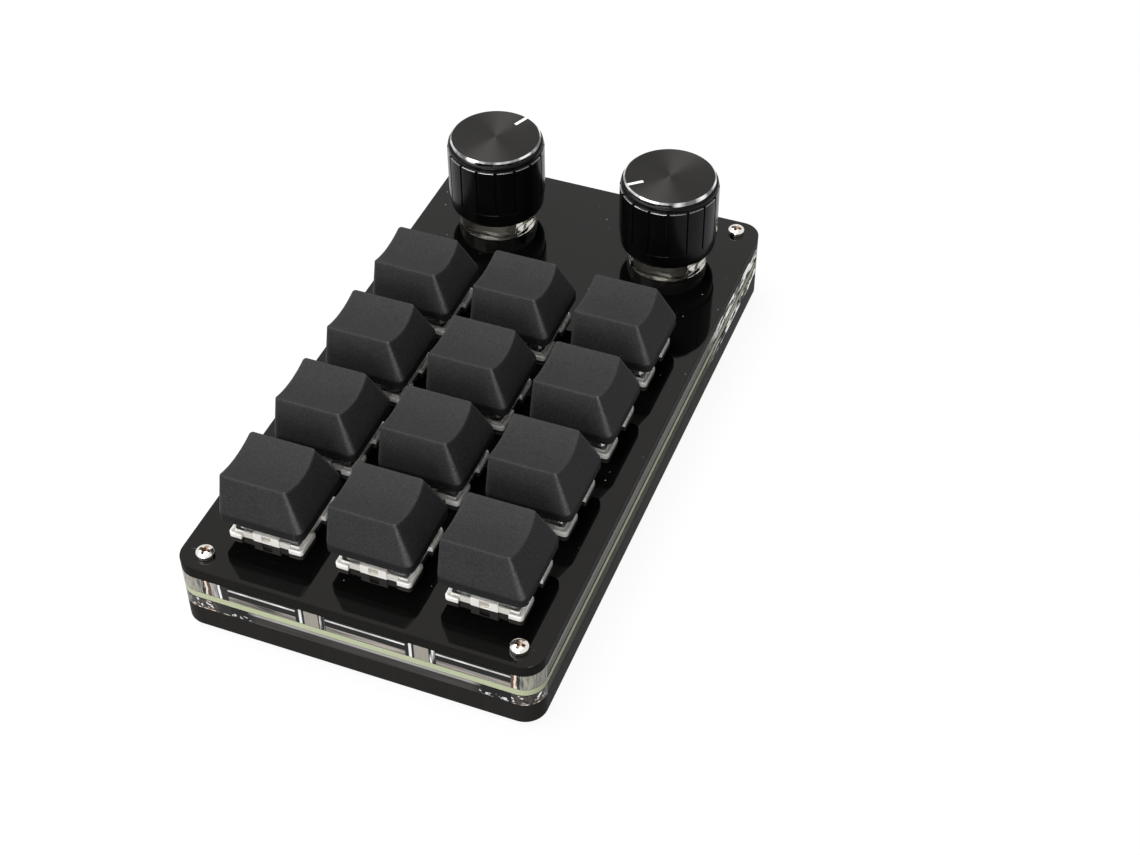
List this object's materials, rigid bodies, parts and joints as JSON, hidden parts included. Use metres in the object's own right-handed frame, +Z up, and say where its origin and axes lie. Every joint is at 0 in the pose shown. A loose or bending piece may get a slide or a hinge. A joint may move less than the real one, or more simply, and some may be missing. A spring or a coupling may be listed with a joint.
{
  "type": "macro keypad",
  "caption": "Slim desk keypad: a screwed sandwich of black and clear layers with rows of press keys and turning push knobs, fed by a socket in its back edge.",
  "frame": {"origin": "on the desk plane under the middle of the case's outline, at the underside of the feet", "axes": "+X across the key columns to the right of someone using it, +Y from the front row of keys to the knobs, +Z up"},
  "size_m": [0.0756, 0.1396, 0.0399],
  "materials": {
    "black_acrylic": "polished black sheet acrylic, mirror-like",
    "clear_acrylic": "clear sheet acrylic with laser-cut edges",
    "board": "solder-masked fibreglass with pale bare edges",
    "nickel": "nickel-plated steel",
    "brass": "machined brass",
    "foot_rubber": "matte black rubber",
    "switch_white": "moulded white nylon",
    "switch_clear": "clear moulded polycarbonate",
    "stem_plastic": "moulded acetal",
    "spring_steel": "bright spring steel",
    "cap_plastic": "fine-textured black plastic",
    "dark_plastic": "moulded black plastic",
    "plated_steel": "plated steel sheet",
    "bare_aluminium": "machined metal",
    "knob_black": "gloss black anodised",
    "knob_face": "spun-brushed black with a bright cut edge and a white pointer"
  },
  "bodies": {
    "case": {"base_plate": "black_acrylic", "top_plate": "black_acrylic", "lower_spacer": "clear_acrylic", "upper_spacer": "clear_acrylic", "knob_rings": "clear_acrylic", "circuit_board": "board", "top_screws": "nickel", "base_screws": "nickel", "pillars": "brass", "switch_blades": "brass", "rubber_feet": "foot_rubber", "switch_bases": "switch_white", "switch_covers": "switch_clear", "switch_springs": "spring_steel", "encoder_domes": "spring_steel", "encoder_bases": "dark_plastic", "usb_tongue": "dark_plastic", "controller_chip": "dark_plastic", "encoder_cases": "plated_steel", "encoder_leads": "plated_steel", "usb_shell": "plated_steel", "encoder_bushings": "bare_aluminium"},
    "key_r1c1": {"keycap_r1c1": "cap_plastic", "stem_r1c1": "stem_plastic"},
    "key_r1c2": {"keycap_r1c2": "cap_plastic", "stem_r1c2": "stem_plastic"},
    "key_r1c3": {"keycap_r1c3": "cap_plastic", "stem_r1c3": "stem_plastic"},
    "key_r2c1": {"keycap_r2c1": "cap_plastic", "stem_r2c1": "stem_plastic"},
    "key_r2c2": {"keycap_r2c2": "cap_plastic", "stem_r2c2": "stem_plastic"},
    "key_r2c3": {"keycap_r2c3": "cap_plastic", "stem_r2c3": "stem_plastic"},
    "key_r3c1": {"keycap_r3c1": "cap_plastic", "stem_r3c1": "stem_plastic"},
    "key_r3c2": {"keycap_r3c2": "cap_plastic", "stem_r3c2": "stem_plastic"},
    "key_r3c3": {"keycap_r3c3": "cap_plastic", "stem_r3c3": "stem_plastic"},
    "key_r4c1": {"keycap_r4c1": "cap_plastic", "stem_r4c1": "stem_plastic"},
    "key_r4c2": {"keycap_r4c2": "cap_plastic", "stem_r4c2": "stem_plastic"},
    "key_r4c3": {"keycap_r4c3": "cap_plastic", "stem_r4c3": "stem_plastic"},
    "rotor_left": {"encoder_rotor_left": "dark_plastic"},
    "knob_left": {"encoder_shaft_left": "bare_aluminium", "knob_body_left": "knob_black", "knob_disc_left": "knob_face"},
    "rotor_right": {"encoder_rotor_right": "dark_plastic"},
    "knob_right": {"encoder_shaft_right": "bare_aluminium", "knob_body_right": "knob_black", "knob_disc_right": "knob_face"}
  },
  "joints": [
    {"name": "key_r1c1_press", "type": "slide", "parent": "case", "child": "key_r1c1", "axis": [0, 0, -1], "range_m": [0, 0.004], "stiffness_N_per_m": 75, "springref_m": -0.004, "deforming": ["switch_springs"]},
    {"name": "key_r1c2_press", "type": "slide", "parent": "case", "child": "key_r1c2", "axis": [0, 0, -1], "range_m": [0, 0.004], "stiffness_N_per_m": 75, "springref_m": -0.004, "deforming": ["switch_springs"]},
    {"name": "key_r1c3_press", "type": "slide", "parent": "case", "child": "key_r1c3", "axis": [0, 0, -1], "range_m": [0, 0.004], "stiffness_N_per_m": 75, "springref_m": -0.004, "deforming": ["switch_springs"]},
    {"name": "key_r2c1_press", "type": "slide", "parent": "case", "child": "key_r2c1", "axis": [0, 0, -1], "range_m": [0, 0.004], "stiffness_N_per_m": 75, "springref_m": -0.004, "deforming": ["switch_springs"]},
    {"name": "key_r2c2_press", "type": "slide", "parent": "case", "child": "key_r2c2", "axis": [0, 0, -1], "range_m": [0, 0.004], "stiffness_N_per_m": 75, "springref_m": -0.004, "deforming": ["switch_springs"]},
    {"name": "key_r2c3_press", "type": "slide", "parent": "case", "child": "key_r2c3", "axis": [0, 0, -1], "range_m": [0, 0.004], "stiffness_N_per_m": 75, "springref_m": -0.004, "deforming": ["switch_springs"]},
    {"name": "key_r3c1_press", "type": "slide", "parent": "case", "child": "key_r3c1", "axis": [0, 0, -1], "range_m": [0, 0.004], "stiffness_N_per_m": 75, "springref_m": -0.004, "deforming": ["switch_springs"]},
    {"name": "key_r3c2_press", "type": "slide", "parent": "case", "child": "key_r3c2", "axis": [0, 0, -1], "range_m": [0, 0.004], "stiffness_N_per_m": 75, "springref_m": -0.004, "deforming": ["switch_springs"]},
    {"name": "key_r3c3_press", "type": "slide", "parent": "case", "child": "key_r3c3", "axis": [0, 0, -1], "range_m": [0, 0.004], "stiffness_N_per_m": 75, "springref_m": -0.004, "deforming": ["switch_springs"]},
    {"name": "key_r4c1_press", "type": "slide", "parent": "case", "child": "key_r4c1", "axis": [0, 0, -1], "range_m": [0, 0.004], "stiffness_N_per_m": 75, "springref_m": -0.004, "deforming": ["switch_springs"]},
    {"name": "key_r4c2_press", "type": "slide", "parent": "case", "child": "key_r4c2", "axis": [0, 0, -1], "range_m": [0, 0.004], "stiffness_N_per_m": 75, "springref_m": -0.004, "deforming": ["switch_springs"]},
    {"name": "key_r4c3_press", "type": "slide", "parent": "case", "child": "key_r4c3", "axis": [0, 0, -1], "range_m": [0, 0.004], "stiffness_N_per_m": 75, "springref_m": -0.004, "deforming": ["switch_springs"]},
    {"name": "knob_left_turn", "type": "hinge", "parent": "case", "child": "rotor_left", "pos_m": [-0.0206, 0.05165, 0.0135], "axis": [0, 0, 1], "continuous": true},
    {"name": "knob_left_press", "type": "slide", "parent": "rotor_left", "child": "knob_left", "axis": [0, 0, -1], "range_m": [0, 0.0005], "stiffness_N_per_m": 4000, "springref_m": -0.0005},
    {"name": "knob_right_turn", "type": "hinge", "parent": "case", "child": "rotor_right", "pos_m": [0.0206, 0.05165, 0.0135], "axis": [0, 0, 1], "continuous": true},
    {"name": "knob_right_press", "type": "slide", "parent": "rotor_right", "child": "knob_right", "axis": [0, 0, -1], "range_m": [0, 0.0005], "stiffness_N_per_m": 4000, "springref_m": -0.0005}
  ]
}
